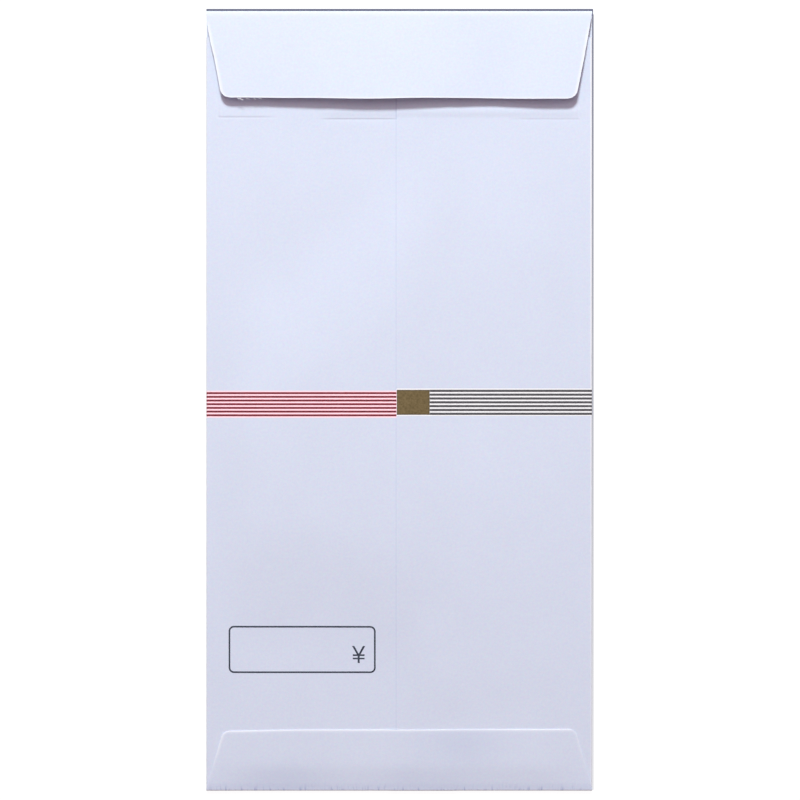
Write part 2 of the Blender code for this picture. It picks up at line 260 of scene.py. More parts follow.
# Printing
CORD_COUNT = 7
RED_CORD_WIDTH = 0.475 * MM
GOLD_CORD_WIDTH = 0.51 * MM
CORD_RIM = 0.045 * MM
RIM_BLUR = 0.01 * MM
PRINT_SHIFT = 0.07 * MM
INK_LIFT = 0.012 * MM
INK_THICKNESS = 0.016 * MM
RED_GROUND = (-3.98 * MM, 2.37 * MM)
GOLD_GROUND = (-3.53 * MM, 2.87 * MM)
BOX_LINE = 0.38 * MM
BOX_CORNER = 1.25 * MM
BOX_LOW = (-39.79 * MM, -63.50 * MM)
BOX_HIGH = (-5.49 * MM, -52.49 * MM)
UNIT_MARK_CENTRE = (-9.45 * MM, -59.50 * MM)
UNIT_MARK_HEIGHT = 4.1 * MM
LETTER_SHARE = 0.73
LETTER_THINNING = 0.015 * MM
BLOCK_END_RIM = (0.8, 0.16 * MM)
BLOCK_SIDE_RIM = (0.35, 0.2 * MM)

# A pressed fold is squarer than a round one (2 is round), and the bottom one sinks the paper
# beside it
FOLD_SQUARENESS = 4.0
FOLD_DIP = 0.09 * MM
DIP_WIDTH = 1.0 * MM

# Cells of each sheet's grid, and steps round the folds and the flaps' corners
BACK_CELL = 1.5 * MM
FLAP_CELL = 0.9 * MM
BOTTOM_CELL = 0.8 * MM
FIBRE_CELL = 0.12 * MM
CORD_CELL = 1.0 * MM
BLOCK_CELL = 0.12 * MM
BOX_CELLS = (24, 8)
FOLD_STEPS = 16
CORNER_STEPS = 8
BOX_CORNER_STEPS = 8

# Extra lines where the relief is fine: the distance between rows or columns, and their numbers,
# counted from an edge or from the line that they follow
EDGE_ROW = 0.1 * MM
HEM_ROWS = (*range(-6, 9), 12, 16, 20, 24, 28, 34)
BOTTOM_EDGE_ROWS = range(1, 7)
FLAP_EDGE_ROWS = range(1, 6)
HEM_COLUMN = 0.12 * MM
HEM_COLUMNS = range(-4, 5)
SEAM_COLUMN = 0.08 * MM
SEAM_COLUMNS = range(6)

# Points closer than this to a line lie on it, and edges flatter than this are shaded smooth
TOUCH = 0.001 * MM
SMOOTH_ANGLE = radians(40)

# Camera and lamp
PHOTO_WIDTH = 186.70 * MM
PHOTO_CENTRE = (0.19 * MM, 0.187 * MM)
LENS = 85.0
SENSOR = 36.0
LAMP_DISTANCE = 1.08
LAMP_AZIMUTH = radians(4)
KEY_ELEVATION = radians(44.2)
KEY_SIZE = 0.2
KEY_POWER = 10.43
KEY_COLOUR = (0.885, 1.0, 0.996)
FILL_ELEVATION = radians(66)
FILL_SIZE = 0.8
FILL_POWER = 2.58
FILL_COLOUR = (1.0, 0.93, 0.97)
ROOM_LIGHT = (0.285, 0.195, 0.215, 1.0)
FLOOR_DROP = 0.05 * MM
FLOOR_SIZE = 6.0
BOARD_GLOW = 0.93

# A painted shadow on the board: a thin dark line along the envelope's top and right edges
PAINTED_SHADOW_COLOUR = "#6F738A"
TOP_LINE_X = (-45.1 * MM, 45.35 * MM)
TOP_LINE_Y = (90.0 * MM, 91.65 * MM)
SIDE_LINE_X = (45.10 * MM, 45.47 * MM)
SIDE_SHADE = (0.34, 1.0)
SIDE_SHADE_Y = (-90.0 * MM, 90.0 * MM)


def fade(value, start, end):
    """0 up to start, 1 from end on, and a smooth rise between them."""
    share = np.clip((value - start) / (end - start), 0.0, 1.0)
    return share * share * (3.0 - 2.0 * share)


def rise_and_fall(value, start, full, last_full, end):
    """0 up to start and from end on, 1 between the two full places, and smooth elsewhere."""
    return fade(value, start, full) * fade(-value, -end, -last_full)


def bell(value, centre, width):
    """1 at the centre, falling off smoothly to both sides."""
    return np.exp(-(((value - centre) / width) ** 2))


def eased(x, places, values):
    """A table's value at x, with a smooth change from each entry to the next."""
    index = np.clip(np.searchsorted(places, x, side="right") - 1, 0, len(places) - 2)
    share = fade(x, places[index], places[index + 1])
    return values[index] + share * (values[index + 1] - values[index])


def linear(code):
    """An sRGB hex colour as the linear colour that the shaders take."""
    parts = [int(code[index : index + 2], 16) / 255 for index in (1, 3, 5)]
    parts = [part / 12.92 if part <= 0.04045 else ((part + 0.055) / 1.055) ** 2.4 for part in parts]
    return (*parts, 1.0)


def per_metre(millimetres):
    """Scale of a pattern whose features are this large."""
    return 1.0 / (millimetres * MM)


# Materials

# Places of the colours among the sockets of a Mix node, which has several sockets of one name
MIX_A, MIX_B, MIX_RESULT = 6, 7, 2

# Farther out than any piece
FAR = 1.0

# Draws a pattern out to five times its length along Y
STREAK_SCALE = (1.0, 0.2, 1.0)


def add_node(tree, kind, settings=None, inputs=None):
    """Adds a node with its settings, and gives its inputs values or links."""
    node = tree.nodes.new(kind)
    for name, value in (settings or {}).items():
        setattr(node, name, value)
    for name, value in (inputs or {}).items():
        if isinstance(value, bpy.types.NodeSocket):
            tree.links.new(value, node.inputs[name])
        else:
            node.inputs[name].default_value = value
    return node


def new_material(name, roughness, specular):
    """A new material, with its node tree and its surface shader."""
    material = bpy.data.materials.new(name)
    material.use_nodes = True
    shader = material.node_tree.nodes["Principled BSDF"]
    shader.inputs["Roughness"].default_value = roughness
    shader.inputs["Specular IOR Level"].default_value = specular
    return material, material.node_tree, shader


def band(tree, value, low, high):
    """1 where a value lies between two limits, and 0 elsewhere."""
    above = add_node(tree, "ShaderNodeMath", {"operation": "GREATER_THAN"}, {0: value, 1: low})
    below = add_node(tree, "ShaderNodeMath", {"operation": "LESS_THAN"}, {0: value, 1: high})
    return add_node(
        tree,
        "ShaderNodeMath",
        {"operation": "MULTIPLY"},
        {0: above.outputs["Value"], 1: below.outputs["Value"]},
    ).outputs["Value"]


def printed_ground(tree, place, paper_colour):
    """The pale ground that is printed behind the cords: pinkish to the left of the seam."""
    axes = add_node(tree, "ShaderNodeSeparateXYZ", inputs={"Vector": place})
    x, y = axes.outputs["X"], axes.outputs["Y"]
    colour = paper_colour
    sides = (
        (band(tree, x, -FAR, SEAM_EDGE_X), RED_GROUND, "#FFE4ED"),
        (band(tree, x, SEAM_EDGE_X, FAR), GOLD_GROUND, "#FAFAFB"),
    )
    for side, rows, ground in sides:
        inside = add_node(
            tree,
            "ShaderNodeMath",
            {"operation": "MULTIPLY"},
            {0: side, 1: band(tree, y, *rows)},
        )
        colour = add_node(
            tree,
            "ShaderNodeMix",
            {"data_type": "RGBA"},
            {0: inside.outputs["Value"], MIX_A: colour, MIX_B: linear(ground)},
        ).outputs[MIX_RESULT]
    return colour


def shade_and_grey_marks(tree, place, paper_colour):
    """Greyer paper where a point is marked with painted shade or grey, and painted shade in crumple
    ticks.
    """
    shade = add_node(tree, "ShaderNodeAttribute", {"attribute_name": "shade"})
    crumple = add_node(tree, "ShaderNodeAttribute", {"attribute_name": "crumple"})
    stretched = add_node(
        tree, "ShaderNodeMapping", inputs={"Vector": place, "Scale": STREAK_SCALE}
    )
    ticks = add_node(
        tree,
        "ShaderNodeTexNoise",
        inputs={"Vector": stretched.outputs["Vector"], "Scale": per_metre(0.6), "Detail": 2.0},
    )
    depth = add_node(
        tree, "ShaderNodeMapRange", inputs={0: ticks.outputs["Fac"], 1: 0.54, 2: 0.72}
    )
    crumpled = add_node(
        tree,
        "ShaderNodeMath",
        {"operation": "MULTIPLY"},
        {0: depth.outputs["Result"], 1: crumple.outputs["Fac"]},
    )
    dark = add_node(
        tree,
        "ShaderNodeMath",
        {"operation": "ADD", "use_clamp": True},
        {0: shade.outputs["Fac"], 1: crumpled.outputs["Value"]},
    )
    return add_node(
        tree,
        "ShaderNodeMix",
        {"data_type": "RGBA"},
        {0: dark.outputs["Value"], MIX_A: paper_colour, MIX_B: linear("#8694C0")},
    ).outputs[MIX_RESULT]


def envelope_paper():
    """Woodfree envelope paper, machine-made and lightly rolled.

    It is matt and faintly bluish, with a soft cloudiness from the pulp and a fine fibre grain. It
    is whiter where a cut edge shows white fibres and where a painted highlight lies on edges and
    folds, and greyer where painted shade or grey patches are marked. The grain is drawn a little
    coarser than the real fibres so that it shows.
    """
    material, tree, shader = new_material("envelope_paper", 0.82, 0.25)
    place = add_node(tree, "ShaderNodeTexCoord").outputs["Object"]
    clouds = add_node(
        tree,
        "ShaderNodeTexNoise",
        inputs={"Vector": place, "Scale": per_metre(14.0), "Detail": 3.0, "Roughness": 0.6},
    )
    grain = add_node(
        tree,
        "ShaderNodeTexNoise",
        inputs={"Vector": place, "Scale": per_metre(0.6), "Detail": 4.0, "Roughness": 0.75},
    )
    cloudy = add_node(
        tree,
        "ShaderNodeMix",
        {"data_type": "RGBA"},
        {0: clouds.outputs["Fac"], MIX_A: linear("#D5DCEC"), MIX_B: linear("#DAE1F1")},
    )
    grained = add_node(
        tree,
        "ShaderNodeMix",
        {"data_type": "RGBA", "blend_type": "SOFT_LIGHT"},
        {0: 0.46, MIX_A: cloudy.outputs[MIX_RESULT], MIX_B: grain.outputs["Color"]},
    )
    # White fibres, and painted highlight on edges and folds
    fibre_and_highlight = add_node(tree, "ShaderNodeAttribute", {"attribute_name": "fibre_and_highlight"})
    edged = add_node(
        tree,
        "ShaderNodeMix",
        {"data_type": "RGBA"},
        {0: fibre_and_highlight.outputs["Fac"], MIX_A: grained.outputs[MIX_RESULT], MIX_B: linear("#FCFDFF")},
    )
    marked = shade_and_grey_marks(tree, place, edged.outputs[MIX_RESULT])
    tooth = add_node(
        tree,
        "ShaderNodeBump",
        inputs={"Strength": 0.5, "Distance": 0.004 * MM, "Height": grain.outputs["Fac"]},
    )
    tree.links.new(printed_ground(tree, place, marked), shader.inputs["Base Color"])
    tree.links.new(tooth.outputs["Normal"], shader.inputs["Normal"])
    return material


def dried_paste():
    """Starch paste, rolled on and dried: a dull yellowish film with streaks along its line."""
    material, tree, shader = new_material("dried_paste", 0.5, 0.4)
    place = add_node(tree, "ShaderNodeTexCoord").outputs["Object"]
    stretched = add_node(
        tree, "ShaderNodeMapping", inputs={"Vector": place, "Scale": STREAK_SCALE}
    )
    streaks = add_node(
        tree,
        "ShaderNodeTexNoise",
        inputs={"Vector": stretched.outputs["Vector"], "Scale": per_metre(0.8), "Detail": 3.0},
    )
    film = add_node(
        tree,
        "ShaderNodeMix",
        {"data_type": "RGBA"},
        {0: streaks.outputs["Fac"], MIX_A: linear("#D8D0B8"), MIX_B: linear("#E6DFCB")},
    )
    tree.links.new(film.outputs[MIX_RESULT], shader.inputs["Base Color"])
    return material


def printed_ink(name, thin, full, squeezed, roughness, metallic=0.0):
    """Offset printing ink, thinner over the paper's raised fibres and squeezed out at a rim.

    The speckle is drawn about twice as coarse as the real one, so that it shows.
    """
    material, tree, shader = new_material(name, roughness, 0.3)
    shader.inputs["Metallic"].default_value = metallic
    place = add_node(tree, "ShaderNodeTexCoord").outputs["Object"]
    speckle = add_node(
        tree,
        "ShaderNodeTexNoise",
        inputs={"Vector": place, "Scale": per_metre(0.5), "Detail": 3.0, "Roughness": 0.65},
    )
    coverage = add_node(
        tree, "ShaderNodeMapRange", inputs={0: speckle.outputs["Fac"], 1: 0.3, 2: 0.7}
    )
    tint = add_node(
        tree,
        "ShaderNodeMix",
        {"data_type": "RGBA"},
        {0: coverage.outputs["Result"], MIX_A: linear(thin), MIX_B: linear(full)},
    )
    rim = add_node(tree, "ShaderNodeAttribute", {"attribute_name": "rim"})
    rimmed = add_node(
        tree,
        "ShaderNodeMix",
        {"data_type": "RGBA"},
        {0: rim.outputs["Fac"], MIX_A: tint.outputs[MIX_RESULT], MIX_B: linear(squeezed)},
    )
    tree.links.new(rimmed.outputs[MIX_RESULT], shader.inputs["Base Color"])
    return material


def seen_directly(tree):
    """1 for rays from the camera, from gloss and through glass, which see the white background."""
    path = add_node(tree, "ShaderNodeLightPath")
    sharp = add_node(
        tree,
        "ShaderNodeMath",
        {"operation": "MAXIMUM"},
        {0: path.outputs["Is Glossy Ray"], 1: path.outputs["Is Transmission Ray"]},
    )
    return add_node(
        tree,
        "ShaderNodeMath",
        {"operation": "MAXIMUM"},
        {0: path.outputs["Is Camera Ray"], 1: sharp.outputs["Value"]},
    ).outputs["Value"]


def white_floor():
    """A white board, bright enough to print as white, that still takes a faint shadow.

    A thin dark line of painted shadow is drawn on it along the envelope's top and right edges.
    """
    material = bpy.data.materials.new("white_floor")
    material.use_nodes = True
    tree = material.node_tree
    tree.nodes.clear()
    place = add_node(tree, "ShaderNodeTexCoord").outputs["Object"]
    axes = add_node(tree, "ShaderNodeSeparateXYZ", inputs={"Vector": place})
    x, y = axes.outputs["X"], axes.outputs["Y"]
    top = add_node(
        tree,
        "ShaderNodeMath",
        {"operation": "MULTIPLY"},
        {0: band(tree, x, *TOP_LINE_X), 1: band(tree, y, *TOP_LINE_Y)},
    )
    side = add_node(
        tree,
        "ShaderNodeMath",
        {"operation": "MULTIPLY"},
        {0: band(tree, x, *SIDE_LINE_X), 1: band(tree, y, BOTTOM_FOLD_LOW.y, CREASE_Y)},
    )
    side_shade = add_node(
        tree,
        "ShaderNodeMapRange",
        inputs={
            0: y,
            1: SIDE_SHADE_Y[0],
            2: SIDE_SHADE_Y[1],
            3: SIDE_SHADE[0],
            4: SIDE_SHADE[1],
        },
    )
    side_dark = add_node(
        tree,
        "ShaderNodeMath",
        {"operation": "MULTIPLY"},
        {0: side.outputs["Value"], 1: side_shade.outputs["Result"]},
    )
    dark = add_node(
        tree,
        "ShaderNodeMath",
        {"operation": "MAXIMUM"},
        {0: side_dark.outputs["Value"], 1: top.outputs["Value"]},
    ).outputs["Value"]
    # The painted shadow: the line's colour where the board is seen, and a near black board under it
    white, line = (1.0, 1.0, 1.0, 1.0), linear(PAINTED_SHADOW_COLOUR)
    grey, near_black = (0.15, 0.15, 0.15, 1.0), (0.02, 0.02, 0.03, 1.0)
    glow_colour = add_node(
        tree,
        "ShaderNodeMix",
        {"data_type": "RGBA"},
        {0: dark, MIX_A: white, MIX_B: line},
    )
    board_colour = add_node(
        tree,
        "ShaderNodeMix",
        {"data_type": "RGBA"},
        {0: dark, MIX_A: grey, MIX_B: near_black},
    )
    glow = add_node(
        tree, "ShaderNodeMath", {"operation": "MULTIPLY"}, {0: seen_directly(tree), 1: BOARD_GLOW}
    )
    board = add_node(
        tree, "ShaderNodeBsdfDiffuse", inputs={"Color": board_colour.outputs[MIX_RESULT]}
    )
    lit = add_node(
        tree,
        "ShaderNodeEmission",
        inputs={"Color": glow_colour.outputs[MIX_RESULT], "Strength": glow.outputs["Value"]},
    )
    both = add_node(tree, "ShaderNodeAddShader", inputs={0: board.outputs[0], 1: lit.outputs[0]})
    add_node(tree, "ShaderNodeOutputMaterial", inputs={"Surface": both.outputs["Shader"]})
    return material


# Modelling helpers


def start_fresh():
    """Leaves nothing selected, so that the next operator acts on the next piece alone."""
    bpy.ops.object.select_all(action="DESELECT")


def pick(piece):
    """Selects one piece and nothing else."""
    start_fresh()
    piece.select_set(True)
    bpy.context.view_layer.objects.active = piece


def edit(piece):
    """Opens one piece for editing."""
    pick(piece)
    bpy.ops.object.mode_set(mode="EDIT")


def stop_editing():
    bpy.ops.object.mode_set(mode="OBJECT")


def apply_place(piece):
    """Writes a piece's place and size into its mesh."""
    pick(piece)
    bpy.ops.object.transform_apply(location=True, rotation=True, scale=True)


def flat_sheet(name, low, high, height, cell):
    """A grid of near-square cells, laid flat between two corners at a height."""
    start_fresh()
    width, length = high[0] - low[0], high[1] - low[1]
    bpy.ops.mesh.primitive_grid_add(
        x_subdivisions=max(1, ceil(width / cell)),
        y_subdivisions=max(1, ceil(length / cell)),
        size=1.0,
        location=((low[0] + high[0]) / 2, (low[1] + high[1]) / 2, height),
    )
    piece = bpy.context.object
    piece.name = piece.data.name = name
    piece.scale = (width, length, 1.0)
    apply_place(piece)
    return piece


def cut_lines(piece, normal, places, least_gap=0.1 * MM):
    """Cuts extra lines into a flat sheet, square to normal, at each of these distances.

    A line that lies within the least gap of points that exist is drawn through them.
    """
    direction = Vector(normal)
    edit(piece)
    for place in places:
        bpy.ops.mesh.select_all(action="SELECT")
        bpy.ops.mesh.bisect(
            plane_co=direction * place, plane_no=direction, threshold=least_gap
        )
    stop_editing()


def select_points(piece, wanted):
    """Selects, in edit mode, the points that pass a test of their place."""
    bpy.ops.mesh.select_mode(type="VERT")
    bpy.ops.mesh.select_all(action="DESELECT")
    mesh = bmesh.from_edit_mesh(piece.data)
    for point in mesh.verts:
        point.select = bool(wanted(point.co))
    mesh.select_flush_mode()
    bmesh.update_edit_mesh(piece.data)


def roll_edge(piece, wanted, centre, axis, turn):
    """Spins the chosen edge of a sheet round a fold's axis, which rolls the sheet on.

    The turn is right-handed about the axis; the operator counts it the other way.
    """
    edit(piece)
    select_points(piece, wanted)
    bpy.ops.mesh.spin(steps=FOLD_STEPS, angle=-turn, center=centre, axis=axis)
    stop_editing()


def points_of(piece):
    """The places of a piece's points, one row each."""
    points = np.empty(len(piece.data.vertices) * 3)
    piece.data.vertices.foreach_get("co", points)
    return points.reshape(-1, 3)


def move_points(piece, points):
    piece.data.vertices.foreach_set("co", points.ravel())
    piece.data.update()


def mark(piece, name, values):
    """Keeps a number for each point, which the material reads."""
    attribute = piece.data.attributes.new(name, "FLOAT", "POINT")
    attribute.data.foreach_set("value", np.asarray(values, dtype=np.float32))


def thicken(piece, thickness):
    """Turns a sheet into a closed solid, with its middle where the sheet was."""
    edit(piece)
    bpy.ops.mesh.select_all(action="SELECT")
    bpy.ops.mesh.normals_make_consistent(inside=False)
    stop_editing()
    wall = piece.modifiers.new("wall", "SOLIDIFY")
    wall.thickness = thickness
    wall.offset = 0.0
    wall.use_even_offset = True
    bpy.ops.object.modifier_apply(modifier=wall.name)
    bpy.ops.object.shade_smooth_by_angle(angle=SMOOTH_ANGLE)


def finish(piece, material, body, replaced=()):
    """Gives a piece its material and its body, and hides the CAD nodes that it stands for."""
    piece.data.materials.clear()
    piece.data.materials.append(material)
    if body:
        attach(piece, body)
    if replaced:
        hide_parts(*replaced)


# Relief of the back


def billow(x, y):
    """Height of the loose back over its flat: it is held down at its folds, mouth and bottom."""
    held = fade(HALF_WIDTH - np.abs(x), *SIDE_HOLD) * fade(HEM_END_Y - y, *MOUTH_HOLD)
    near_fold = fade(y - BOTTOM_FOLD_Y, *BOTTOM_HOLD)
    top_y = SWELL_TOP_Y + SWELL_TOP_SLANT * np.minimum(x, 0.0)
    top_reach = SWELL_TOP_REACH + SWELL_TOP_SPREAD * np.maximum(x, 0.0)
    top_end = fade(top_y - y, -top_reach, top_reach)
    foot_y = SWELL_FOOT_Y - SWELL_FOOT_SLANT * np.clip(x, -SWELL_FOOT_SPAN, SWELL_FOOT_SPAN)
    foot_end = fade(y - foot_y, -SWELL_FOOT_REACH, SWELL_FOOT_REACH)
    left_half = 1.0 - SWELL_RIGHT_LOSS * fade(x, *SWELL_RIGHT_X)
    height = PAD_HEIGHT + SWELL_HEIGHT * top_end * foot_end * left_half
    for centre_x, centre_y, half_width, half_length, rise in BUMPS:
        across = bell(x, centre_x * MM, half_width * MM)
        height = height + rise * MM * across * bell(y, centre_y * MM, half_length * MM)
    dip = FOLD_DIP * np.exp(-np.maximum(y - BOTTOM_FOLD_Y, 0.0) / DIP_WIDTH)
    return held * (near_fold * height - dip)


def hem_print(x, y):
    """The mark of the turned-in margins: a step down at their end, and pressed sides."""
    shown = 0.0
    for start, full, last_full, end, strength in HEM_MARKS:
        shown = shown + strength * rise_and_fall(x / MM, start, full, last_full, end)
    line_y = HEM_END_Y + HEM_SKEW * (1.0 - fade(x, *HEM_SKEW_X))
    step = shown * fade(y, line_y - HEM_SLOPE, line_y + HEM_SLOPE)
    pressed = END_PRESS * shown * bell(y, line_y - 2 * HEM_SLOPE, HEM_SLOPE)
    beside = rise_and_fall(
        y, HEM_END_Y, HEM_END_Y + SIDE_PRESS_START, PANEL_HIGH_Y - SIDE_PRESS_END, PANEL_HIGH_Y
    )
    left = beside * bell(x, LEFT_HEM_X, SIDE_PRESS_WIDTH)
    right = RIGHT_PRESS_SHARE * beside * bell(x, RIGHT_HEM_X, SIDE_PRESS_WIDTH)
    spring = fade(x, *SPRING_X) * fade(HALF_WIDTH - np.abs(x), *SPRING_HOLD)
    spring *= rise_and_fall(y - line_y, 0.0, SPRING_CREST, SPRING_CREST, SPRING_LENGTH)
    return HEM_STEP * (step - pressed - SIDE_PRESS * (left + right)) + HEM_SPRING * spring


def back_relief(x, y):
    """All that raises the back over its flat."""
    return billow(x, y) + hem_print(x, y)


def seam_climb(x):
    """How far the right panel stands over the left one."""
    return SEAM_RISE * (1.0 - fade(x, SEAM_END_X, SEAM_END_X + SEAM_RAMP))


def press_fold(across, up):
    """The same places of a round fold after it is pressed: its upper quarter is squarer."""
    outside = np.maximum(across, 0.0)
    above = np.maximum(up, 0.0)
    squared = (outside**FOLD_SQUARENESS + above**FOLD_SQUARENESS) ** (1 / FOLD_SQUARENESS)
    upper = (outside > 0.0) & (above > 0.0)
    growth = np.where(upper, np.hypot(outside, above) / np.where(upper, squared, 1.0), 1.0)
    return across * growth, up * growth


def lay_on_back(piece, over_seam):
    """Moves a flat piece, or the flat part of a rolled one, onto the relief of the back."""
    points = points_of(piece)
    x, y, z = points.T
    on_top = (np.abs(x) < SIDE_FOLD_X) & (z > SIDE_FOLD_RADIUS)
    points[:, 2] += on_top * back_relief(x, y)
    if over_seam:
        points[:, 2] += on_top * seam_climb(x)
    across, up = press_fold(np.abs(x) - SIDE_FOLD_X, z - SIDE_FOLD_RADIUS)
    rolled = ~on_top & (z > SIDE_FOLD_RADIUS)
    points[:, 0] = np.where(rolled, np.sign(x) * (SIDE_FOLD_X + across), x)
    points[:, 2] = np.where(rolled, SIDE_FOLD_RADIUS + up, z)
    move_points(piece, points)


# Sheets


def edge_whiteness(distance):
    """How much white fibre and painted highlight shows at a distance from a cut edge."""
    return np.exp(-np.maximum(distance, 0.0) / EDGE_WHITE_REACH)


def make_back_sheet(side, paper):
    """One side of the sheet: its back panel and the fold that brings it round from the front."""
    name = "left" if side < 0 else "right"
    panel_z = BACK_TOP - PAPER / 2
    low_x, high_x = (-SIDE_FOLD_X, SEAM_END_X) if side < 0 else (SEAM_EDGE_X, SIDE_FOLD_X)
    corners = (low_x, PANEL_LOW_Y), (high_x, PANEL_HIGH_Y)
    sheet = flat_sheet(name + "_back_sheet", *corners, panel_z, BACK_CELL)
    cut_lines(sheet, (0, 1, 0), [HEM_END_Y + step * EDGE_ROW for step in HEM_ROWS])
    hem_x = LEFT_HEM_X if side < 0 else RIGHT_HEM_X
    cut_lines(sheet, (1, 0, 0), [hem_x + step * HEM_COLUMN for step in HEM_COLUMNS])
    if side < 0:
        columns = [SEAM_EDGE_X - step * SEAM_COLUMN for step in SEAM_COLUMNS]
        cut_lines(sheet, (1, 0, 0), columns)
    roll_edge(
        sheet,
        lambda place: abs(place.x) > SIDE_FOLD_X - TOUCH,
        (side * SIDE_FOLD_X, 0.0, SIDE_FOLD_RADIUS),
        (0.0, 1.0, 0.0),
        side * pi,
    )
    lay_on_back(sheet, side > 0)
    x, y = points_of(sheet)[:, :2].T
    # Painted highlight on the outside of the fold
    fold_highlight = fade(np.abs(x), *SIDE_FOLD_HIGHLIGHT_BAND)
    if side < 0:
        mark(sheet, "fibre_and_highlight", LEFT_FOLD_HIGHLIGHT * fold_highlight)
        # Painted shade in the gap beside the right panel's edge
        depth = SEAM_SHADE + SEAM_SHADE_GAIN * fade(y, HEM_END_Y - SEAM_SHADE_RISE, HEM_END_Y)
        line = bell(x, SEAM_EDGE_X - SEAM_SHADE_OFFSET, SEAM_SHADE_WIDTH)
        mark(sheet, "shade", depth * line)
    else:
        more = (1.0 - RIGHT_FOLD_HIGHLIGHT) * fade(y, *RIGHT_FOLD_HIGHLIGHT_Y)
        mark(sheet, "fibre_and_highlight", fold_highlight * (RIGHT_FOLD_HIGHLIGHT + more))
    thicken(sheet, PAPER)
    finish(sheet, paper, "pocket", (name + "_side_fold", name + "_back_panel"))


def make_seam_paste(paste):
    """The line of paste that holds the right panel down on the left one."""
    low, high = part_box("seam_glue")
    height = BACK_TOP + PASTE_LIFT + PASTE_FILM / 2
    film = flat_sheet("seam_paste", (low.x, low.y), (high.x, high.y), height, BACK_CELL)
    lay_on_back(film, False)
    thicken(film, PASTE_FILM)
    finish(film, paste, "pocket", ("seam_glue",))


def half_width_at(reach, length, half_base, taper, corner):
    """Half the width of a flap at a distance from its fold, with its tip corners rounded."""
    slope = taper / length
    straight = half_base - slope * reach
    centre_reach = length - corner
    centre_x = half_base - slope * centre_reach - corner * hypot(1.0, slope)
    past = np.clip(reach - centre_reach, 0.0, corner)
    rounded = centre_x + np.sqrt(corner**2 - past**2)
    tangent_reach = centre_reach + corner * slope / hypot(1.0, slope)
    return np.where(reach > tangent_reach, rounded, straight)


def corner_rows(length, corner):
    """Distances from the fold at which a rounded corner needs a row of points."""
    angles = [pi / 2 * step / CORNER_STEPS for step in range(CORNER_STEPS)]
    return [length - corner + corner * sin(angle) for angle in angles]


def trim_sides(sheet, fold_y, outward, length, half_base, taper, corner):
    """Draws a flap's sides in to its outline, and returns the reach and half width of each point.

    The reach is the distance from the fold, and outward is 1 for a flap that lies towards +Y.
    """
    points = points_of(sheet)
    reach = np.maximum(outward * (points[:, 1] - fold_y), 0.0)
    half = half_width_at(reach, length, half_base, taper, corner)
    points[:, 0] *= half / half_base
    move_points(sheet, points)
    return reach, half


def lay_on_bottom(sheet):
    """Moves the bottom flap's sheet or paste onto the relief of the back, over the seam."""
    points = points_of(sheet)
    x, y, z = points.T
    share = np.clip((z - PAPER / 2) / (BOTTOM_TOP - PAPER), 0.0, 1.0)
    climb = fade(x, SEAM_EDGE_X - SEAM_RAMP, SEAM_EDGE_X) * seam_climb(x)
    points[:, 2] += share * (climb + billow(x, y))
    move_points(sheet, points)


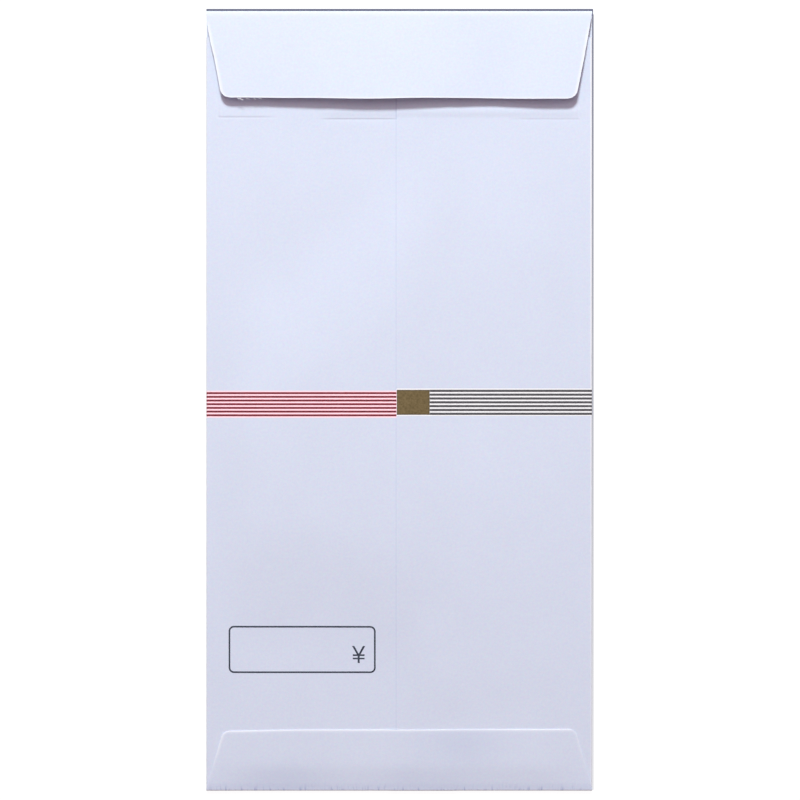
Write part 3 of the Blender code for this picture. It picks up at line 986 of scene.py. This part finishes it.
def make_bottom_sheet(paper):
    """The bottom flap, glued down over the panels, and the fold that it comes round."""
    length = BOTTOM_TIP_Y - BOTTOM_FOLD_Y
    sheet = flat_sheet(
        "bottom_sheet",
        (-HALF_WIDTH, BOTTOM_FOLD_Y),
        (HALF_WIDTH, BOTTOM_TIP_Y),
        BOTTOM_TOP - PAPER / 2,
        BOTTOM_CELL,
    )
    rows = corner_rows(length, BOTTOM_CORNER)
    rows += [length - step * EDGE_ROW for step in BOTTOM_EDGE_ROWS]
    cut_lines(sheet, (0, 1, 0), [BOTTOM_FOLD_Y + row for row in rows])
    trim_sides(sheet, BOTTOM_FOLD_Y, 1, length, HALF_WIDTH, BOTTOM_TAPER, BOTTOM_CORNER)
    roll_edge(
        sheet,
        lambda place: place.y < BOTTOM_FOLD_Y + TOUCH,
        (0.0, BOTTOM_FOLD_Y, BOTTOM_FOLD_RADIUS),
        (1.0, 0.0, 0.0),
        pi,
    )
    points = points_of(sheet)
    across, up = press_fold(BOTTOM_FOLD_Y - points[:, 1], points[:, 2] - BOTTOM_FOLD_RADIUS)
    points[:, 1] = BOTTOM_FOLD_Y - across
    points[:, 2] = BOTTOM_FOLD_RADIUS + up
    move_points(sheet, points)
    lay_on_bottom(sheet)
    points = points_of(sheet)
    x, y = points[:, 0], points[:, 1]
    reach = np.maximum(y - BOTTOM_FOLD_Y, 0.0)
    half = half_width_at(reach, length, HALF_WIDTH, BOTTOM_TAPER, BOTTOM_CORNER)
    flat = reach > EDGE_PRESS_START
    tip_free, side_free = length - reach, half - np.abs(x)
    edge_free = np.minimum(tip_free, side_free)
    points[:, 2] -= EDGE_PRESS * np.exp(-edge_free / EDGE_PRESS_REACH) * flat
    points[:, 1] += eased(x, TIP_X, TIP_EXTRA) * fade(reach, 0.0, length)
    move_points(sheet, points)
    # White fibres and painted highlight along the free edges
    side_share = np.where(x < 0.0, *BOTTOM_SIDE_WHITENESS) * fade(reach, 0.0, length)
    whiteness = flat * np.maximum(edge_whiteness(tip_free), side_share * edge_whiteness(side_free))
    above_axis = y - BOTTOM_FOLD_Y
    # Painted highlight on the outside of the fold, which turns away from the lamp
    rolled = 1.0 - fade(above_axis, *FOLD_HIGHLIGHT_BAND)
    mark(sheet, "fibre_and_highlight", np.maximum(whiteness, rolled))
    # Painted shade in the crumples beside the fold
    mark(sheet, "crumple", CRUMPLE * (1.0 - fade(above_axis, *CRUMPLE_BAND)))
    greying = BOTTOM_SHADE * (1.0 - fade(y, *BOTTOM_SHADE_Y))
    # Painted shade in a band beside the fold
    greying += FOLD_SHADE * (1.0 - fade(above_axis, *FOLD_SHADE_BAND))
    for centre_x, centre_y, half_width, half_length, depth in GREY_PATCHES:
        across = bell(x, centre_x * MM, half_width * MM)
        greying = greying + depth * across * bell(y, centre_y * MM, half_length * MM)
    mark(sheet, "shade", greying)
    thicken(sheet, PAPER)
    finish(sheet, paper, "pocket", ("bottom_fold", "bottom_flap"))


def make_bottom_paste(paste):
    """The paste under the bottom flap."""
    low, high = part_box("bottom_flap_glue")
    height = BACK_TOP + PASTE_LIFT + PASTE_FILM / 2
    length, half_base = high.y - low.y, high.x
    film = flat_sheet("bottom_paste", (low.x, low.y), (high.x, high.y), height, BACK_CELL)
    cut_lines(film, (0, 1, 0), [low.y + row for row in corner_rows(length, BOTTOM_CORNER)])
    trim_sides(film, low.y, 1, length, half_base, BOTTOM_TAPER, BOTTOM_CORNER)
    lay_on_bottom(film)
    thicken(film, PASTE_FILM)
    finish(film, paste, "pocket", ("bottom_flap_glue",))


def lift_with_flap(piece):
    """Turns a piece about the crease, from the shut flap to the flap at rest."""
    edit(piece)
    bpy.ops.mesh.select_all(action="SELECT")
    # With no window this operator turns the other way, so a lift is a turn by a positive value
    bpy.ops.transform.rotate(value=FLAP_LIFT, orient_axis="X", center_override=CREASE_AXIS)
    stop_editing()


def make_closing_flap(paper):
    """The closing flap and its crease, rolled on from the front panel's head."""
    sheet = flat_sheet(
        "closing_flap_sheet",
        (-HALF_WIDTH, CREASE_Y - FLAP_REACH),
        (HALF_WIDTH, CREASE_Y),
        SHUT_FLAP_Z,
        FLAP_CELL,
    )
    rows = corner_rows(FLAP_REACH, FLAP_CORNER)
    rows += [FLAP_REACH - step * EDGE_ROW for step in FLAP_EDGE_ROWS]
    cut_lines(sheet, (0, 1, 0), [CREASE_Y - row for row in rows])
    reach, half = trim_sides(
        sheet, CREASE_Y, -1, FLAP_REACH, HALF_WIDTH, FLAP_TAPER, FLAP_CORNER
    )
    points = points_of(sheet)
    left_cut = np.interp(reach, SIDE_REACH, LEFT_CUT)
    right_cut = np.interp(reach, SIDE_REACH, RIGHT_CUT)
    side_free = half - np.abs(points[:, 0])
    points[:, 0] *= 1.0 - np.where(points[:, 0] < 0.0, left_cut, right_cut) / half
    x = points[:, 0]
    along = np.clip(reach / FLAP_REACH, 0.0, 1.0)
    lip = np.exp(-(FLAP_REACH - reach) / LIP_REACH)
    bulge = (1.0 - np.exp(-reach / FLAP_BULGE_REACH)) * (1.0 - along)
    points[:, 1] -= eased(x, CUT_X, CUT_EXTRA) * along**2
    points[:, 2] += eased(x, WAVE_X, WAVE_RISE) * along + LIP_RISE * lip + FLAP_BULGE * bulge
    move_points(sheet, points)
    # White fibres and painted highlight along the free edge and sides, and painted highlight on the
    # crease
    side_share = FLAP_SIDE_WHITENESS * fade(reach, *FLAP_SIDE_START)
    side_whiteness = side_share * edge_whiteness(side_free)
    tip_whiteness = FLAP_TIP_WHITENESS * edge_whiteness(FLAP_REACH - reach)
    crease_whiteness = CREASE_WHITENESS * np.exp(-reach / CREASE_WHITE_REACH)
    mark(sheet, "fibre_and_highlight", np.maximum.reduce((tip_whiteness, side_whiteness, crease_whiteness)))
    roll_edge(
        sheet,
        lambda place: place.y > CREASE_Y - TOUCH,
        CREASE_AXIS,
        (1.0, 0.0, 0.0),
        -(pi - FLAP_LIFT),
    )
    # The crease gets narrower on its way round, so that its ends don't lie over each other in
    # one plane when the flap is open
    points = points_of(sheet)
    turned = np.clip((SHUT_FLAP_Z - points[:, 2]) / SHUT_FLAP_Z, 0.0, 1.0)
    points[:, 0] *= 1.0 - CREASE_NARROWING / HALF_WIDTH * turned
    move_points(sheet, points)
    lift_with_flap(sheet)
    thicken(sheet, PAPER)
    finish(sheet, paper, None, ("flap_crease", "closing_flap"))
    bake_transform(sheet)


def make_fibres(paper):
    """Loose fibres that the cutting knife pulled out of the closing flap's free edge."""
    for index, (x, length, drop, width) in enumerate(FIBRES):
        low = (x * MM, CREASE_Y - FLAP_REACH)
        high = ((x + length) * MM, low[1] + width * MM)
        fibre = flat_sheet(f"edge_fibre_{index + 1}", low, high, SHUT_FLAP_Z, FIBRE_CELL)
        points = points_of(fibre)
        share = np.clip((points[:, 0] - low[0]) / (high[0] - low[0]), 0.0, 1.0)
        points[:, 1] -= drop * MM * share**FIBRE_DROOP
        points[:, 2] += eased(points[:, 0], WAVE_X, WAVE_RISE)
        move_points(fibre, points)
        mark(fibre, "fibre_and_highlight", np.ones(len(points)))
        lift_with_flap(fibre)
        thicken(fibre, FIBRE_THICKNESS)
        finish(fibre, paper, "flap")


# Printing


def make_cords(side, ink):
    """The printed cords of one side: along the back, round the fold and on across the front."""
    name = "red" if side < 0 else "gold"
    low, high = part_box(name + "_cord_1")
    start_x = high.x if side < 0 else low.x
    ink_z = BACK_TOP + INK_LIFT
    first_y = (low.y + high.y) / 2 + PRINT_SHIFT
    ends = sorted((start_x, side * SIDE_FOLD_X))
    half = (RED_CORD_WIDTH if side < 0 else GOLD_CORD_WIDTH) / 2
    corners = (ends[0], first_y - half), (ends[1], first_y + half)
    cord = flat_sheet(name + "_cord_print_1", *corners, ink_z, CORD_CELL)
    for from_middle in (half - CORD_RIM - RIM_BLUR, half - CORD_RIM):
        rim_places = (first_y - from_middle, first_y + from_middle)
        cut_lines(cord, (0, 1, 0), rim_places, TOUCH)
    roll_edge(
        cord,
        lambda place: abs(place.x) > SIDE_FOLD_X - TOUCH,
        (side * SIDE_FOLD_X, 0.0, SIDE_FOLD_RADIUS),
        (0.0, 1.0, 0.0),
        side * pi,
    )
    edit(cord)
    select_points(cord, lambda place: place.z < 0.0 and abs(place.x) < SIDE_FOLD_X + TOUCH)
    across = -side * SIDE_FOLD_X
    bpy.ops.mesh.extrude_edges_move(TRANSFORM_OT_translate={"value": (across, 0.0, 0.0)})
    stop_editing()
    off_middle = np.abs(points_of(cord)[:, 1] - first_y)
    mark(cord, "rim", off_middle > half - CORD_RIM - RIM_BLUR / 2)
    cords = [cord]
    for index in range(1, CORD_COUNT):
        cord_low, cord_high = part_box(f"{name}_cord_{index + 1}")
        pick(cord)
        bpy.ops.object.duplicate(linked=False)
        copy = bpy.context.object
        copy.name = copy.data.name = f"{name}_cord_print_{index + 1}"
        copy.location.y = (cord_low.y + cord_high.y) / 2 + PRINT_SHIFT - first_y
        apply_place(copy)
        cords.append(copy)
    for index, copy in enumerate(cords):
        lay_on_back(copy, side > 0)
        thicken(copy, INK_THICKNESS)
        finish(copy, ink, "pocket", (f"{name}_cord_{index + 1}",))


def make_gold_block(ink):
    """The solid block printed beside the seam, whose ink was squeezed out at its rim."""
    low, high = BLOCK_LOW, BLOCK_HIGH
    height = BACK_TOP + INK_LIFT
    low_y, high_y = low.y + PRINT_SHIFT, high.y + PRINT_SHIFT
    block = flat_sheet("gold_block_print", (low.x, low_y), (high.x, high_y), height, BLOCK_CELL)
    lay_on_back(block, True)
    x, y = points_of(block)[:, :2].T
    from_side = np.minimum(x - low.x, high.x - x)
    from_end = np.minimum(y - low_y, high_y - y)
    rim = 0.0
    for distance, (strength, reach) in ((from_end, BLOCK_END_RIM), (from_side, BLOCK_SIDE_RIM)):
        rim = rim + strength * np.exp(-distance / reach)
    mark(block, "rim", np.clip(rim, 0.0, 1.0))
    thicken(block, INK_THICKNESS)
    finish(block, ink, "pocket", ("gold_block",))


def make_amount_box(ink):
    """The outline printed for the amount, with rounded corners."""
    low, high = BOX_LOW, BOX_HIGH
    box = flat_sheet("amount_box_print", low, high, BACK_TOP + INK_LIFT, high[0] - low[0])
    edit(box)
    bpy.ops.mesh.select_all(action="SELECT")
    bpy.ops.mesh.bevel(affect="VERTICES", offset=BOX_CORNER, segments=BOX_CORNER_STEPS)
    bpy.ops.mesh.select_all(action="SELECT")
    bpy.ops.mesh.inset(thickness=BOX_LINE)
    bpy.ops.mesh.delete(type="FACE")
    stop_editing()
    for axis, normal in enumerate(((1, 0, 0), (0, 1, 0))):
        inner = (low[axis] + BOX_CORNER, high[axis] - BOX_CORNER)
        cut_lines(box, normal, np.linspace(*inner, BOX_CELLS[axis])[1:-1])
    lay_on_back(box, False)
    thicken(box, INK_THICKNESS)
    finish(box, ink, "pocket")


def make_unit_mark(ink):
    """A plain money sign of general use, set where the box has its unit."""
    start_fresh()
    bpy.ops.object.text_add(location=(*UNIT_MARK_CENTRE, BACK_TOP + INK_LIFT))
    letter = bpy.context.object
    letter.data.body = "¥"
    letter.data.align_x = "CENTER"
    letter.data.align_y = "CENTER"
    letter.data.size = UNIT_MARK_HEIGHT / LETTER_SHARE
    letter.data.offset = -LETTER_THINNING
    letter.data.extrude = INK_THICKNESS / 2
    bpy.ops.object.convert(target="MESH")
    sign = bpy.context.object
    sign.name = sign.data.name = "unit_mark_print"
    apply_place(sign)
    edit(sign)
    bpy.ops.mesh.select_all(action="SELECT")
    bpy.ops.mesh.remove_doubles(threshold=TOUCH / 2)
    bpy.ops.mesh.normals_make_consistent(inside=False)
    stop_editing()
    lay_on_back(sign, False)
    bpy.ops.object.shade_smooth_by_angle(angle=SMOOTH_ANGLE)
    finish(sign, ink, "pocket")


# Scene


def make_floor():
    """The board that the envelope lies on."""
    start_fresh()
    bpy.ops.mesh.primitive_plane_add(size=FLOOR_SIZE, location=(0.0, 0.0, -FLOOR_DROP))
    floor = bpy.context.object
    floor.name = floor.data.name = "floor"
    floor.data.materials.append(white_floor())


def make_world():
    """A dim, faintly warm room that looks white where it is seen directly."""
    world = bpy.data.worlds.new("studio")
    world.use_nodes = True
    tree = world.node_tree
    tree.nodes.clear()
    room = add_node(tree, "ShaderNodeBackground", inputs={"Color": ROOM_LIGHT})
    backdrop = add_node(tree, "ShaderNodeBackground", inputs={"Color": (1.0, 1.0, 1.0, 1.0)})
    both = add_node(
        tree,
        "ShaderNodeMixShader",
        inputs={0: seen_directly(tree), 1: room.outputs[0], 2: backdrop.outputs[0]},
    )
    add_node(tree, "ShaderNodeOutputWorld", inputs={"Surface": both.outputs["Shader"]})
    bpy.context.scene.world = world


def make_lamp(name, elevation, size, power, colour):
    """A round lamp beyond the closing flap, aimed at the envelope."""
    flat = LAMP_DISTANCE * cos(elevation)
    place = Vector(
        (-flat * sin(LAMP_AZIMUTH), flat * cos(LAMP_AZIMUTH), LAMP_DISTANCE * sin(elevation))
    )
    lamp_data = bpy.data.lights.new(name, "AREA")
    lamp_data.shape = "DISK"
    lamp_data.size = size
    lamp_data.energy = power
    lamp_data.color = colour
    lamp = bpy.data.objects.new(name, lamp_data)
    lamp.location = place
    lamp.rotation_euler = (-place).to_track_quat("-Z", "Y").to_euler()
    bpy.context.scene.collection.objects.link(lamp)


def make_camera():
    """A camera straight above the envelope, as in the photograph."""
    camera_data = bpy.data.cameras.new("camera")
    camera_data.lens = LENS
    camera_data.sensor_width = SENSOR
    camera_data.clip_start = 0.01
    camera = bpy.data.objects.new("camera", camera_data)
    height = BACK_TOP + PHOTO_WIDTH * LENS / SENSOR
    camera.location = (*PHOTO_CENTRE, height)
    bpy.context.scene.collection.objects.link(camera)
    bpy.context.scene.camera = camera
    bpy.context.scene.view_settings.view_transform = "Standard"


def dress_frame_nodes(paper):
    """Gives the CAD nodes that stay in view their paper."""
    kept = (
        "front_panel",
        "left_mouth_hem",
        "right_mouth_hem",
        "left_mouth_fold",
        "right_mouth_fold",
    )
    for name in kept:
        mesh = frame["nodes"][name].data
        mesh.materials.clear()
        mesh.materials.append(paper)


def build():
    make_camera()
    make_world()
    make_lamp("key", KEY_ELEVATION, KEY_SIZE, KEY_POWER, KEY_COLOUR)
    make_lamp("fill", FILL_ELEVATION, FILL_SIZE, FILL_POWER, FILL_COLOUR)
    make_floor()
    paper = envelope_paper()
    paste = dried_paste()
    red = printed_ink("red_printing_ink", "#702C38", "#541A25", "#F2505C", 0.6)
    gold_line = printed_ink("gold_line_ink", "#575657", "#3F3E44", "#4F4D4F", 0.5)
    gold = printed_ink("gold_printing_ink", "#776542", "#564728", "#38342A", 0.5, 0.15)
    grey = printed_ink("grey_printing_ink", "#3A404E", "#282E3C", "#282E3C", 0.6)
    dress_frame_nodes(paper)
    make_back_sheet(-1, paper)
    make_back_sheet(1, paper)
    make_seam_paste(paste)
    make_bottom_sheet(paper)
    make_bottom_paste(paste)
    make_closing_flap(paper)
    make_fibres(paper)
    make_cords(-1, red)
    make_cords(1, gold_line)
    make_gold_block(gold)
    make_amount_box(grey)
    make_unit_mark(grey)


build()

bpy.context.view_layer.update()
